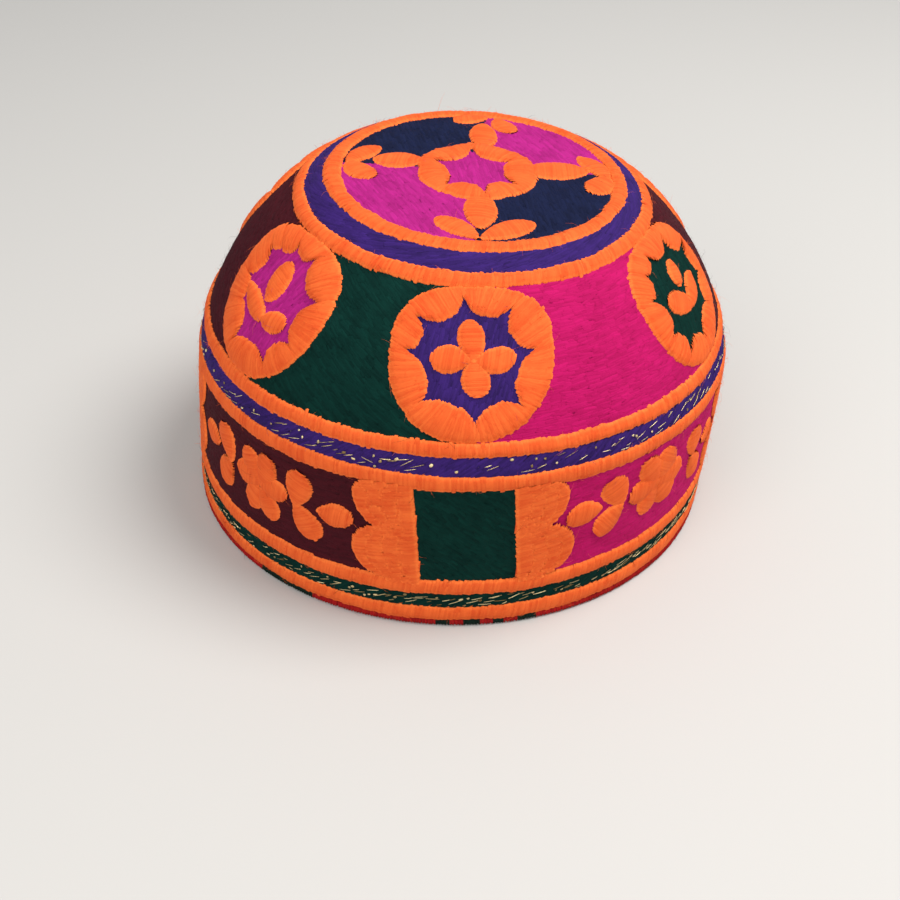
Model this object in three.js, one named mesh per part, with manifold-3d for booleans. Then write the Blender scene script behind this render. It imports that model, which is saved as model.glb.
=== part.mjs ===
// A round brimless cap of padded, embroidered cloth, in millimetres, +Z up, resting on its rim.
// The origin is on the floor under the middle of the cap, and its front faces -Y.
import * as THREE from 'three';
import { mergeVertices } from 'three/addons/utils/BufferGeometryUtils.js';
import Module from 'manifold-3d';

const wasm = await Module();
wasm.setup();

// Overall size
const RIM_RADIUS = 92; // outside of the cloth wall at the rim
const HEIGHT = 114.6; // outside of the cloth at the middle of the top
const WALL = 2; // cloth and its covering of flat stitches
const SEAT = 0.3; // gap between a raised piece and the cloth that it is sewn on

// Heights of the pieces that run round the cap, along the wall from the rim up
const EDGING_HEIGHT = 2.6;
const RIM_RIB_WIDTH = 5.8;
const GREEN_STRIPE_WIDTH = 5.4;
const BAND_LOWER_RIB_WIDTH = 5.7;
const BAND_HEIGHT = 34.6;
const BAND_UPPER_RIB_WIDTH = 5.5;
const PURPLE_STRIPE_WIDTH = 6;
const CROWN_LOWER_RIB_WIDTH = 5;

// Widths of the pieces that run round the top, from its middle outwards
const DISC_RADIUS = 44.5;
const TOP_RING_WIDTH = 5.2;
const PURPLE_RING_WIDTH = 6.4;
const CROWN_UPPER_RIB_WIDTH = 4.9;

// Heights of the raised work over the cloth
const RIB_RISE = 1.7;
const STRIPE_RISE = 0.8;
const PATCH_RISE = 1.5;
const MOTIF_RISE = 1.3;
const EDGE_SHARE = 0.45; // how much of its rise a padded rib or medallion keeps at its edge
const CREST_SHARE = 0.8; // how far from the middle of a padded motif its back stays level
const EDGING_REACH = 0.5; // how far the whipped edge stands out past the cloth on both sides

// Sizes of the raised work along the cloth
const SQUARE_WIDTH = 30.6;
const BLOCK_WIDTH = 19.5;
const BLOCK_WAIST = 5; // how deep the notch in a block's scalloped side is
const MEDALLION_WIDTH = 51.5;
const STAR_TIP = 18.5;
const STAR_WAIST = 13;
const PETAL_FLOWER_RADIUS = 11.6;
const PETAL_FLOWER_WAIST = 4.6;
const BAND_FLOWER_RADIUS = 12;
const BAND_FLOWER_WAIST = 8;
const BAND_LEAF_LENGTH = 13.5;
const BAND_LEAF_WIDTH = 8.4;
const BUD_LENGTH = 12.5;
const BUD_WIDTH = 9.5;
const BUD_CLEARANCE = 0.5; // from a bud to the line of the scallops beside it
const MEDALLION_LEAF_LENGTH = 12.5;
const MEDALLION_LEAF_WIDTH = 8.5;
const MEDALLION_PETAL_LENGTH = 13;
const MEDALLION_PETAL_WIDTH = 7;
const MEDALLION_PETAL_DROP = 7; // how far the petals' joint lies below the middle of its star
const ROSETTE_RADIUS = 19;
const ROSETTE_WAIST = 17.6;
const ROSETTE_STAR_TIP = 15;
const ROSETTE_STAR_WAIST = 10;
const TOP_BUD_CLEARANCE = 6.1; // from the tip of a bud to the joint of the leaves beyond it
const TOP_BUD_TUCK = 2; // how far a bud runs into the rosette
const TOP_BUD_WIDTH = 10.5;
const TOP_LEAF_LENGTH = 17;
const TOP_LEAF_WIDTH = 7.6;
const LEAF_PAIR_CLEARANCE = 2; // bare cloth between a flower and its leaves
const LEAF_TAPER = 0.35; // how much fuller a leaf is at its round end than in its middle
const LEAF_JOINT = 1 / 6; // how far two joined leaves overlap, as a share of their width
const STAR_BOW = 3; // how deeply the sides of a star bow inwards
const PETAL_FULLNESS = 0.6; // lower is fuller: how round the petals and scallops are

// Directions of paired leaves, in degrees from the line that the pair is centred on
const BAND_LEAF_SPREAD = 63;
const MEDALLION_PETAL_SPREAD = 68;
const TOP_LEAF_SPREAD = 45;

// Where the hand-placed work sits round the cap, in degrees from the front towards +X
const SQUARE_TURNS = [2, 91, 180, 270];
const FLOWER_TURNS = [45, 136, 225, 317];
const MEDALLION_TURNS = [0, 64.5, 123, 181, 242, 305];
const FLOWER_EVERY = 3; // every third medallion holds a flower, the others a leaf and two petals
const TOP_ARMS = 4;
const STAR_POINTS = 8;
const ROSETTE_POINTS = 6;
const BAND_PETALS = 6;
const DOME_PETALS = 4;
const STAR_CORNERS = 24; // corners of a patch with a star or of a flower
const LEAF_CORNERS = 8;
const SEGMENTS = 36;

// How the soft cap settles: the crown leans to one side and its top dips that way
const CROWN_SHIFT = 6.3; // sideways shift of the middle of the top
const TOP_DIP = 1.7; // how far the right edge of the top lies below its middle
const DIP_START = 0.52; // share of the height where the dip begins
const DIP_END = 0.96; // share of the height where the dip is whole

// The outside of the cloth, as shares of the height and the rim radius
const PROFILE = [
  { height: 0, radius: 1.0 },
  { height: 0.12, radius: 1.0 },
  { height: 0.26, radius: 0.998 },
  { height: 0.39, radius: 0.995 },
  { height: 0.525, radius: 0.986 },
  { height: 0.573, radius: 0.967 },
  { height: 0.643, radius: 0.932 },
  { height: 0.713, radius: 0.887 },
  { height: 0.782, radius: 0.829 },
  { height: 0.843, radius: 0.763 },
  { height: 0.895, radius: 0.698 },
  { height: 0.951, radius: 0.603 },
  { height: 0.98, radius: 0.546 },
  { height: 0.989, radius: 0.488 },
  { height: 0.997, radius: 0.25 },
  { height: 1.0, radius: 0 },
];

const degrees = THREE.MathUtils.degToRad;
const profile = new THREE.SplineCurve(
  PROFILE.map((row) => new THREE.Vector2(row.radius * RIM_RADIUS, row.height * HEIGHT)),
);
profile.arcLengthDivisions = 800;
const WALL_LENGTH = profile.getLength();

// Edges of the pieces along the wall, measured from the rim
const stripeTop = EDGING_HEIGHT + RIM_RIB_WIDTH + GREEN_STRIPE_WIDTH;
const bandFoot = stripeTop + BAND_LOWER_RIB_WIDTH;
const bandTop = bandFoot + BAND_HEIGHT;
const purpleFoot = bandTop + BAND_UPPER_RIB_WIDTH;
const purpleTop = purpleFoot + PURPLE_STRIPE_WIDTH;
const domeFoot = purpleTop + CROWN_LOWER_RIB_WIDTH;
const discEdge = WALL_LENGTH - DISC_RADIUS;
const ringFoot = discEdge - TOP_RING_WIDTH;
const purpleRingFoot = ringFoot - PURPLE_RING_WIDTH;
const domeTop = purpleRingFoot - CROWN_UPPER_RIB_WIDTH;
const sideSeam = (purpleFoot + purpleTop) / 2;
const topSeam = (purpleRingFoot + ringFoot) / 2;
const domeMiddle = (domeFoot + domeTop) / 2;
const bandMiddle = (bandFoot + bandTop) / 2;

const colours = {
  orange: 0xf2702a,
  green: 0x0c3029,
  purple: 0x3a1f7a,
  maroon: 0x3f0d16,
  rose: 0xcf1f6c,
  magenta: 0xb8288c,
  red: 0xb8231f,
};
const hat = new THREE.Group();

// A point of the cross-section, a way along the wall and a height over the cloth
function section(along, lift) {
  const share = THREE.MathUtils.clamp(along / WALL_LENGTH, 0, 1);
  const point = profile.getPointAt(share);
  const way = profile.getTangentAt(share);
  return new THREE.Vector2(Math.max(point.x + way.y * lift, 0), point.y - way.x * lift);
}

// Radius of the cloth where a piece lies, for turning widths into angles
function radiusAt(along) {
  return section(along, 0).x;
}

const topRadius = radiusAt(purpleRingFoot);

// The lean and the dip, for a point of the upright cap
function settle(point) {
  const rise = THREE.MathUtils.clamp((point.z / HEIGHT - DIP_START) / (DIP_END - DIP_START), 0, 1);
  const dip = (TOP_DIP / topRadius) * rise * point.x;
  point.x += (CROWN_SHIFT * point.z) / HEIGHT;
  point.z -= dip;
}

function movePoints(geometry, move) {
  const places = geometry.attributes.position;
  const point = new THREE.Vector3();
  for (let i = 0; i < places.count; i += 1) {
    point.fromBufferAttribute(places, i);
    move(point);
    places.setXYZ(i, point.x, point.y, point.z);
  }
}

// Turns the faces of a mirrored shape outwards again
function turnFaces(geometry) {
  const order = geometry.index.array;
  for (let i = 0; i < order.length; i += 3) [order[i], order[i + 1]] = [order[i + 1], order[i]];
}

// Merges shared points and drops the flat triangles that a turned shape has on its axis
function weld(geometry) {
  geometry.deleteAttribute('normal');
  geometry.deleteAttribute('uv');
  const welded = mergeVertices(geometry, 1e-3);
  const order = [];
  for (let i = 0; i < welded.index.count; i += 3) {
    const [a, b, c] = welded.index.array.slice(i, i + 3);
    if (a !== b && b !== c && c !== a) order.push(a, b, c);
  }
  welded.setIndex(order);
  return welded;
}

function addPiece(name, geometry, colour, roughness = 0.9) {
  movePoints(geometry, settle);
  geometry.computeVertexNormals();
  const material = new THREE.MeshStandardMaterial({ color: colour, roughness, metalness: 0 });
  const mesh = new THREE.Mesh(geometry, material);
  mesh.name = name;
  hat.add(mesh);
}

// Joins overlapping closed pieces into one body
function join(geometries) {
  const bodies = geometries.map((geometry) => new wasm.Manifold(new wasm.Mesh({
    numProp: 3,
    vertProperties: new Float32Array(geometry.attributes.position.array),
    triVerts: new Uint32Array(geometry.index.array),
  })));
  const mesh = bodies.reduce((whole, body) => whole.add(body)).getMesh();
  const joined = new THREE.BufferGeometry();
  joined.setAttribute('position', new THREE.BufferAttribute(new Float32Array(mesh.vertProperties), 3));
  joined.setIndex(new THREE.BufferAttribute(new Uint32Array(mesh.triVerts), 1));
  return joined;
}

// A closed ring round the cap, from points given along the wall and over the cloth
function ring(points) {
  const outline = points.map(([along, lift]) => section(along, lift));
  outline.push(outline[0].clone());
  const geometry = new THREE.LatheGeometry(outline, SEGMENTS);
  geometry.rotateX(Math.PI / 2);
  return weld(geometry);
}

// A padded rib with a rounded back, sewn on the cloth
function rib(from, to) {
  const crest = SEAT + RIB_RISE;
  const edge = SEAT + RIB_RISE * EDGE_SHARE;
  const foot = from + SEAT / 2;
  const head = to - SEAT / 2;
  return ring([[foot, SEAT], [foot, edge], [(from + to) / 2, crest], [head, edge], [head, SEAT]]);
}

// A flat stitched stripe, bent along its middle where the cap curves
function stripe(from, to) {
  const foot = from + SEAT / 2;
  const head = to - SEAT / 2;
  const middle = (from + to) / 2;
  const back = SEAT + STRIPE_RISE;
  return ring([[foot, SEAT], [foot, back], [middle, back], [head, back], [head, SEAT], [middle, SEAT]]);
}

// A cloth wall through places along the profile, with an outer and an inner face
function wall(outerPlaces, innerPlaces) {
  const outside = outerPlaces.map((along) => [along, 0]);
  const inside = innerPlaces.map((along) => [along, -WALL]).reverse();
  return ring([...outside, ...inside]);
}

// Lays a flat piece on the cap: x along the cap, y up the wall and z over the cloth
function layOn(geometry, azimuth, along) {
  movePoints(geometry, (point) => {
    const place = section(along + point.y, point.z);
    const turn = azimuth + point.x / radiusAt(along + point.y);
    point.set(place.x * Math.sin(turn), -place.x * Math.cos(turn), place.y);
  });
  return weld(geometry);
}

// Lays a flat piece on the disc, with x to the right and y to the back, seen from above
function layOnTop(geometry) {
  movePoints(geometry, (point) => {
    const reach = Math.hypot(point.x, point.y);
    const place = section(WALL_LENGTH - reach, point.z);
    const share = reach > 0 ? place.x / reach : 0;
    point.set(point.x * share, point.y * share, place.y);
  });
  return weld(geometry);
}

// A padded patch inside an outline that gives a point for each angle
function pad(outline, corners) {
  const crest = SEAT + MOTIF_RISE;
  const rows = [[0, SEAT], [1, SEAT], [CREST_SHARE, crest], [0, crest]];
  const loop = rows.map(([share, lift]) => new THREE.Vector2(share, lift));
  const geometry = new THREE.LatheGeometry(loop, corners);
  geometry.rotateX(Math.PI / 2);
  movePoints(geometry, (point) => {
    const share = Math.hypot(point.x, point.y);
    const rim = outline(Math.atan2(point.y, point.x));
    point.x = rim.x * share;
    point.y = rim.y * share;
  });
  return geometry;
}

// A padded patch between an inner and an outer outline
function openPad(inner, outer, corners) {
  const crest = SEAT + PATCH_RISE;
  const edge = SEAT + PATCH_RISE * EDGE_SHARE;
  const rows = [[1, SEAT], [1.5, SEAT], [2, SEAT], [2, edge], [1.5, crest], [1, edge], [1, SEAT]];
  const loop = rows.map(([share, lift]) => new THREE.Vector2(share, lift));
  const geometry = new THREE.LatheGeometry(loop, corners);
  geometry.rotateX(Math.PI / 2);
  movePoints(geometry, (point) => {
    const share = Math.hypot(point.x, point.y) - 1;
    const angle = Math.atan2(point.y, point.x);
    const place = inner(angle).lerp(outer(angle), share);
    point.x = place.x;
    point.y = place.y;
  });
  return geometry;
}

const polar = (angle, radius) => new THREE.Vector2(radius * Math.cos(angle), radius * Math.sin(angle));

// A star whose sides bow inwards, by its count of points
function star(points, tip, waist, turn) {
  return (angle) => {
    const side = Math.abs(Math.cos((points * (angle - turn)) / 2));
    return polar(angle, waist + (tip - waist) * side ** STAR_BOW);
  };
}

// A flower with round petals, by its count of petals
function flower(petals, radius, waist, turn) {
  return (angle) => {
    const side = Math.abs(Math.cos((petals * (angle - turn)) / 2));
    return polar(angle, waist + (radius - waist) * side ** PETAL_FULLNESS);
  };
}

// A leaf that widens from its pointed foot in the given direction
function leafPad(foot, direction, length, width) {
  const outline = (angle) => {
    const fullness = 1 + LEAF_TAPER * Math.cos(angle);
    return new THREE.Vector2((length / 2) * Math.cos(angle), (width / 2) * Math.sin(angle) * fullness);
  };
  const geometry = pad(outline, LEAF_CORNERS);
  geometry.translate(length / 2, 0, 0);
  geometry.rotateZ(degrees(direction));
  geometry.translate(foot.x, foot.y, 0);
  return geometry;
}

// Two leaves that share one point
function leafPair(start, direction, spread, length, width) {
  const overlap = width * LEAF_JOINT;
  return [direction + spread, direction - spread].map((way) => {
    const back = start.clone().sub(polar(degrees(way), overlap));
    return leafPad(back, way, length + overlap, width);
  });
}

// Rim
const outerReach = EDGING_REACH + SEAT;
const innerReach = -WALL - EDGING_REACH;
const edgingCrest = EDGING_HEIGHT / 2;
addPiece('rim_edging', ring([
  [0, innerReach], [0, outerReach], [edgingCrest, outerReach + EDGING_REACH],
  [EDGING_HEIGHT, outerReach], [EDGING_HEIGHT, innerReach], [edgingCrest, innerReach - EDGING_REACH],
]), colours.red);
addPiece('rim_rib', rib(EDGING_HEIGHT + SEAT, stripeTop - GREEN_STRIPE_WIDTH), colours.orange);
addPiece('green_gold_stripe', stripe(stripeTop - GREEN_STRIPE_WIDTH, stripeTop), colours.green, 0.6);

// Cloth walls, which meet under the two purple rings
const bandPlaces = [EDGING_HEIGHT + SEAT, bandFoot, bandTop, sideSeam - SEAT / 2];
addPiece('side_band', wall(bandPlaces, [bandPlaces[0], bandMiddle, bandPlaces[3]]), colours.rose);
const domeQuarter = (domeTop - domeFoot) / 4;
const domePlaces = [0, 1, 2, 3, 4].map((step) => domeFoot + step * domeQuarter);
const crownPlaces = [sideSeam + SEAT / 2, ...domePlaces, purpleRingFoot, topSeam - SEAT / 2];
const crownInside = [crownPlaces[0], domeFoot, domeMiddle, domeTop, topSeam - SEAT / 2];
addPiece('crown_side', wall(crownPlaces, crownInside), colours.maroon);

// Disc that closes the crown, turned about the axis
const topPlaces = [topSeam + SEAT / 2, discEdge, WALL_LENGTH - DISC_RADIUS / 2, WALL_LENGTH];
const topOutside = topPlaces.map((along) => section(along, 0));
const topInside = topPlaces.map((along) => section(along, -WALL)).reverse();
topOutside[topPlaces.length - 1].x = 0;
topInside[0].x = 0;
const disc = new THREE.LatheGeometry([...topInside, ...topOutside], SEGMENTS);
disc.rotateX(Math.PI / 2);
addPiece('crown_top', weld(disc), colours.magenta);

// Band between its two orange ribs, with the blocks that run into them
const frameParts = [rib(stripeTop, bandFoot + SEAT), rib(bandTop - SEAT, purpleFoot)];
const bandRadius = radiusAt(bandMiddle);
const squareHalf = SQUARE_WIDTH / 2;
const blockLength = BAND_HEIGHT + (BAND_LOWER_RIB_WIDTH + BAND_UPPER_RIB_WIDTH) / 2;
for (const turn of SQUARE_TURNS) {
  for (const side of [-1, 1]) {
    const block = new THREE.BoxGeometry(1, blockLength, PATCH_RISE, 2, 8, 1);
    movePoints(block, (point) => {
      const share = THREE.MathUtils.clamp(point.y / BAND_HEIGHT, -0.5, 0.5);
      const scallop = BLOCK_WAIST * (1 - Math.abs(Math.sin(2 * Math.PI * share)) ** PETAL_FULLNESS);
      const across = 0.5 + point.x;
      point.x = side * (squareHalf + SEAT + across * (BLOCK_WIDTH - scallop));
      point.z += SEAT + PATCH_RISE / 2;
    });
    if (side < 0) turnFaces(block);
    frameParts.push(layOn(block, degrees(turn), bandMiddle));
  }
}
addPiece('band_frame', join(frameParts), colours.orange);

SQUARE_TURNS.forEach((turn, i) => {
  const square = new THREE.BoxGeometry(SQUARE_WIDTH, BAND_HEIGHT - 3 * SEAT, STRIPE_RISE, 4, 1, 1);
  square.translate(0, 0, SEAT + STRIPE_RISE / 2);
  addPiece(`band_square_${i + 1}`, layOn(square, degrees(turn), bandMiddle), colours.green);
});

// Flower panels between the blocks, each with a flower, two pairs of leaves and two buds
let pairCount = 0;
const pairReach = BAND_FLOWER_RADIUS + LEAF_PAIR_CLEARANCE;
FLOWER_TURNS.forEach((turn, i) => {
  const azimuth = degrees(turn);
  const petals = pad(flower(BAND_PETALS, BAND_FLOWER_RADIUS, BAND_FLOWER_WAIST, 0), STAR_CORNERS);
  addPiece(`band_flower_${i + 1}`, layOn(petals, azimuth, bandMiddle), colours.orange);
  for (const side of [-1, 1]) {
    pairCount += 1;
    const nextSquare = side < 0 ? SQUARE_TURNS[i] : SQUARE_TURNS[(i + 1) % SQUARE_TURNS.length];
    const room = THREE.MathUtils.euclideanModulo(side * (nextSquare - turn), 360);
    const blockEdge = degrees(room) * bandRadius - squareHalf - BLOCK_WIDTH;
    const budFoot = blockEdge - BUD_CLEARANCE - BUD_LENGTH;
    const outwards = side > 0 ? 0 : 180;
    const start = new THREE.Vector2(side * pairReach, 0);
    const leaves = leafPair(start, outwards, BAND_LEAF_SPREAD, BAND_LEAF_LENGTH, BAND_LEAF_WIDTH);
    const pair = join(leaves.map((one) => layOn(one, azimuth, bandMiddle)));
    addPiece(`band_leaf_pair_${pairCount}`, pair, colours.orange);
    const bud = leafPad(new THREE.Vector2(side * budFoot, 0), outwards, BUD_LENGTH, BUD_WIDTH);
    addPiece(`band_bud_${pairCount}`, layOn(bud, azimuth, bandMiddle), colours.orange);
  }
});

// Flat purple stripe and the ribs of the dome
addPiece('purple_gold_stripe', stripe(purpleFoot, purpleTop), colours.purple, 0.6);
addPiece('crown_lower_rib', rib(purpleTop, domeFoot), colours.orange);
addPiece('crown_upper_rib', rib(domeTop, purpleRingFoot), colours.orange);

// Medallions round the dome, with a star cut in each and a motif in the star
const medallionHeight = domeTop - domeFoot - 2 * SEAT;
let leafCount = 0;
let flowerCount = 0;
MEDALLION_TURNS.forEach((turn, i) => {
  const azimuth = degrees(turn);
  const oval = (angle) => new THREE.Vector2(
    (MEDALLION_WIDTH / 2) * Math.cos(angle), (medallionHeight / 2) * Math.sin(angle));
  const cut = star(STAR_POINTS, STAR_TIP, STAR_WAIST, 0);
  const patch = openPad(cut, oval, STAR_CORNERS);
  addPiece(`medallion_${i + 1}`, layOn(patch, azimuth, domeMiddle), colours.orange);
  if (i % FLOWER_EVERY === 0) {
    flowerCount += 1;
    const petals = pad(flower(DOME_PETALS, PETAL_FLOWER_RADIUS, PETAL_FLOWER_WAIST, 0), STAR_CORNERS);
    addPiece(`medallion_flower_${flowerCount}`, layOn(petals, azimuth, domeMiddle), colours.orange);
  } else {
    leafCount += 1;
    const leafFoot = new THREE.Vector2(0, STAR_WAIST - MEDALLION_LEAF_LENGTH + SEAT);
    const single = leafPad(leafFoot, 90, MEDALLION_LEAF_LENGTH, MEDALLION_LEAF_WIDTH);
    addPiece(`medallion_leaf_${leafCount}`, layOn(single, azimuth, domeMiddle), colours.orange);
    const node = new THREE.Vector2(0, -MEDALLION_PETAL_DROP);
    const pair = leafPair(node, 90, MEDALLION_PETAL_SPREAD, MEDALLION_PETAL_LENGTH, MEDALLION_PETAL_WIDTH);
    const joined = join(pair.map((one) => layOn(one, azimuth, domeMiddle)));
    addPiece(`medallion_petals_${leafCount}`, joined, colours.orange);
  }
});

// Rings round the top, and the raised work on the disc
addPiece('purple_ring', stripe(purpleRingFoot, ringFoot), colours.purple, 0.6);
addPiece('top_ring_rib', rib(ringFoot, discEdge), colours.orange);

const hole = star(ROSETTE_POINTS, ROSETTE_STAR_TIP, ROSETTE_STAR_WAIST, Math.PI / 2);
const edge = flower(ROSETTE_POINTS, ROSETTE_RADIUS, ROSETTE_WAIST, Math.PI / ROSETTE_POINTS);
const rosette = [openPad(hole, edge, STAR_CORNERS)];
const leafJoint = DISC_RADIUS - 2 * SEAT - TOP_LEAF_WIDTH * LEAF_JOINT;
const budTip = leafJoint - TOP_BUD_CLEARANCE;
const budLength = budTip - ROSETTE_RADIUS + TOP_BUD_TUCK;
for (let i = 0; i < TOP_ARMS; i += 1) {
  const direction = -90 + (i * 360) / TOP_ARMS;
  const start = polar(degrees(direction), budTip);
  rosette.push(leafPad(start, direction + 180, budLength, TOP_BUD_WIDTH));
  const node = polar(degrees(direction), leafJoint);
  const leaves = leafPair(node, direction + 180, TOP_LEAF_SPREAD, TOP_LEAF_LENGTH, TOP_LEAF_WIDTH);
  addPiece(`top_leaf_pair_${i + 1}`, join(leaves.map(layOnTop)), colours.orange);
}
addPiece('top_rosette', join(rosette.map(layOnTop)), colours.orange);

// The origin goes under the middle of the settled cap
const middle = new THREE.Box3().setFromObject(hat).getCenter(new THREE.Vector3());
for (const mesh of hat.children) mesh.geometry.translate(-middle.x, -middle.y, 0);

export default hat;
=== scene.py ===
"""A round cap of padded cloth, covered with wool embroidery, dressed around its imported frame.

Sewing sizes are in millimetres, measured along the cloth, and place() turns them into the metres of
the frame. Directions round the cap are in degrees from its front towards +X."""
import math

import bpy
import numpy as np
from mathutils import Euler, Matrix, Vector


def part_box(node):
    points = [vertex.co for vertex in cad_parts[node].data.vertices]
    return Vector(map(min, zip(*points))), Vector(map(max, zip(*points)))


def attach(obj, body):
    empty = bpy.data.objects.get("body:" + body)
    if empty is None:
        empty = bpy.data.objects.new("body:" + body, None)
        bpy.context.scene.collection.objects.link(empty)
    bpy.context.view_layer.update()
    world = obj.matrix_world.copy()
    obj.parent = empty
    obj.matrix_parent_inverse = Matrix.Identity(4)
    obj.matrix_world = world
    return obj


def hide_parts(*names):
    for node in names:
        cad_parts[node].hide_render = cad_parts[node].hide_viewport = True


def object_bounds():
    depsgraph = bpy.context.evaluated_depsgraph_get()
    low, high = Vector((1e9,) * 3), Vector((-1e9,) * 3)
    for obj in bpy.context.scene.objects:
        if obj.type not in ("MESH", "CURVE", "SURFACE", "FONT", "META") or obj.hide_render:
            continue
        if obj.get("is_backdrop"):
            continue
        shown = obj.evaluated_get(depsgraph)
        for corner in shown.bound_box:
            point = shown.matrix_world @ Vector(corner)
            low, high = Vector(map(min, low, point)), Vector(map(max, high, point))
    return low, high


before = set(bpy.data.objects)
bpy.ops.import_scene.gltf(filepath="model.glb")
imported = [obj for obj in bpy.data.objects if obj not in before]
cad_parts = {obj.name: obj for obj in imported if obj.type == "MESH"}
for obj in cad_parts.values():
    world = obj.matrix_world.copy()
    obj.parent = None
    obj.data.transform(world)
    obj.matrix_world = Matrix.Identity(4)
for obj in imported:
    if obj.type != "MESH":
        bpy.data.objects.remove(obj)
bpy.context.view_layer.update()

# Cloth of the cap
# A band, a domed wall and a round top of doubled cotton, sewn together under the two purple rings.
# The wool hides their outside, and their inside shows the plain woven back.
MM = 0.001
RIM_RADIUS = 92.0
HEIGHT = 114.6
WALL = 2.0
CROWN_SHIFT = 6.3
TOP_DIP = 1.7  # how much lower its right side lies than its middle
TOP_TILT = 2.0  # how much higher its back lies
TOP_RISE = 1.1  # how much higher the whole top lies
DIP_START, DIP_END = 0.52, 0.96
PROFILE = (  # share of the height, share of the rim radius
    (0, 1.0), (0.12, 1.0), (0.26, 0.998), (0.39, 0.995), (0.525, 0.986), (0.573, 0.967),
    (0.643, 0.932), (0.713, 0.887), (0.782, 0.829), (0.843, 0.763), (0.895, 0.698), (0.951, 0.603),
    (0.98, 0.546), (0.989, 0.488), (0.997, 0.25), (1.0, 0),
)
LINE_LEAN = 1.2  # how far the sewn lines climb towards +X, because they were laid askew
RIM_RIB = (2.3, 8.0)
GREEN_STRIPE = (8.0, 13.4)
BAND_LOWER_RIB = (13.4, 19.1)
BAND = (19.1, 54.4)
BAND_UPPER_RIB = (54.4, 59.9)
PURPLE_STRIPE = (59.9, 65.9)
CROWN_LOWER_RIB = (65.9, 70.8)
DISC_RADIUS = 44.5
TOP_RING_WIDTH = 5.2
PURPLE_RING_WIDTH = 6.4
CROWN_UPPER_RIB_WIDTH = 4.9
SHELL_STEPS = 180
SHELL_ROW = 2.6
SEAM_GAP = 0.1


def cap_section():
    """Length along the cloth from the rim, radius and height there, and how fast both change."""
    rows = np.array(PROFILE) * (HEIGHT, RIM_RADIUS)
    knots = np.vstack([rows[:1], rows, rows[-1:]])
    t = np.linspace(0, 1, 60, endpoint=False)[:, None]
    parts = []
    for before, here, there, after in zip(knots, knots[1:], knots[2:], knots[3:]):
        leave, arrive = (there - before) / 2, (after - here) / 2
        cubic = 2 * (here - there) + leave + arrive
        square = 3 * (there - here) - 2 * leave - arrive
        parts.append(((cubic * t + square) * t + leave) * t + here)
    line = np.vstack([*parts, rows[-1:]])
    run = np.concatenate([[0], np.cumsum(np.hypot(*np.diff(line, axis=0).T))])
    slope = np.gradient(line, run, axis=0)
    return run, line[:, 1], line[:, 0], slope[:, 1], slope[:, 0]


RUN, RADII, RISES, OUTWARDS, UPWARDS = cap_section()
WALL_LENGTH = RUN[-1]
DISC_EDGE = WALL_LENGTH - DISC_RADIUS
TOP_RING = (DISC_EDGE - TOP_RING_WIDTH, DISC_EDGE)
PURPLE_RING = (TOP_RING[0] - PURPLE_RING_WIDTH, TOP_RING[0])
CROWN_UPPER_RIB = (PURPLE_RING[0] - CROWN_UPPER_RIB_WIDTH, PURPLE_RING[0])
DOME = (CROWN_LOWER_RIB[1], CROWN_UPPER_RIB[0])
rim_low, rim_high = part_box("rim_edging")
RIM_CENTRE = (rim_low.x + rim_high.x) / 2 / MM


def radius_at(along):
    """Radius of the cloth at a way along it."""
    return np.interp(along, RUN, RADII)


def place(turn, along, lift):
    """Points of the frame in metres, from directions in radians, ways along the cloth and heights."""
    climb = np.interp(along, (0, GREEN_STRIPE[0], CROWN_UPPER_RIB[1], DISC_EDGE), (0, 1, 1, 0))
    along = along + LINE_LEAN * climb * np.sin(turn)
    outward, upward = np.interp(along, RUN, OUTWARDS), np.interp(along, RUN, UPWARDS)
    reach = radius_at(along) + upward * lift
    z = np.interp(along, RUN, RISES) - outward * lift
    x, y = reach * np.sin(turn), -reach * np.cos(turn)
    dipped = np.clip((z / HEIGHT - DIP_START) / (DIP_END - DIP_START), 0, 1)
    drop = dipped * ((TOP_DIP * x - TOP_TILT * y) / radius_at(PURPLE_RING[0]) - TOP_RISE)
    x = x + CROWN_SHIFT * z / HEIGHT + RIM_CENTRE
    return np.stack(np.broadcast_arrays(x, y, z - drop), -1) * MM


def rgb(red, green, blue):
    """Linear colour of everyday 0 to 255 values."""
    shares = [c / 255 for c in (red, green, blue)]
    return (*[c / 12.92 if c <= 0.04045 else ((c + 0.055) / 1.055) ** 2.4 for c in shares], 1)


def feed(tree, value, socket):
    """Gives a socket the output of another node, or else a constant."""
    if isinstance(value, bpy.types.NodeSocket):
        tree.links.new(value, socket)
    else:
        socket.default_value = value


def node(tree, kind, **settings):
    """A shader node with its settings; a constant or an output goes to the input of that name."""
    made = tree.nodes.new(kind)
    for name, value in settings.items():
        if hasattr(made, name):
            setattr(made, name, value)
        else:
            feed(tree, value, made.inputs[name.replace("_", " ")])
    return made


def maths(tree, operation, *values):
    """The result of one operation on numbers or outputs."""
    step = node(tree, "ShaderNodeMath", operation=operation)
    for value, socket in zip(values, step.inputs):
        feed(tree, value, socket)
    return step.outputs[0]


def blend(tree, factor, first, second):
    """A mix of two colours, which are constants or outputs."""
    mix = node(tree, "ShaderNodeMix", data_type="RGBA", clamp_factor=True)
    for value, i in ((factor, 0), (first, 6), (second, 7)):
        feed(tree, value, mix.inputs[i])
    return mix.outputs[2]


def plain_material(name, **settings):
    """A new material, its node tree and its Principled shader with constants on its own sockets."""
    material = bpy.data.materials.new(name)
    material.use_nodes = True
    shader = material.node_tree.nodes["Principled BSDF"]
    for socket, value in settings.items():
        shader.inputs[socket.replace("_", " ")].default_value = value
    return material, material.node_tree, shader


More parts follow.
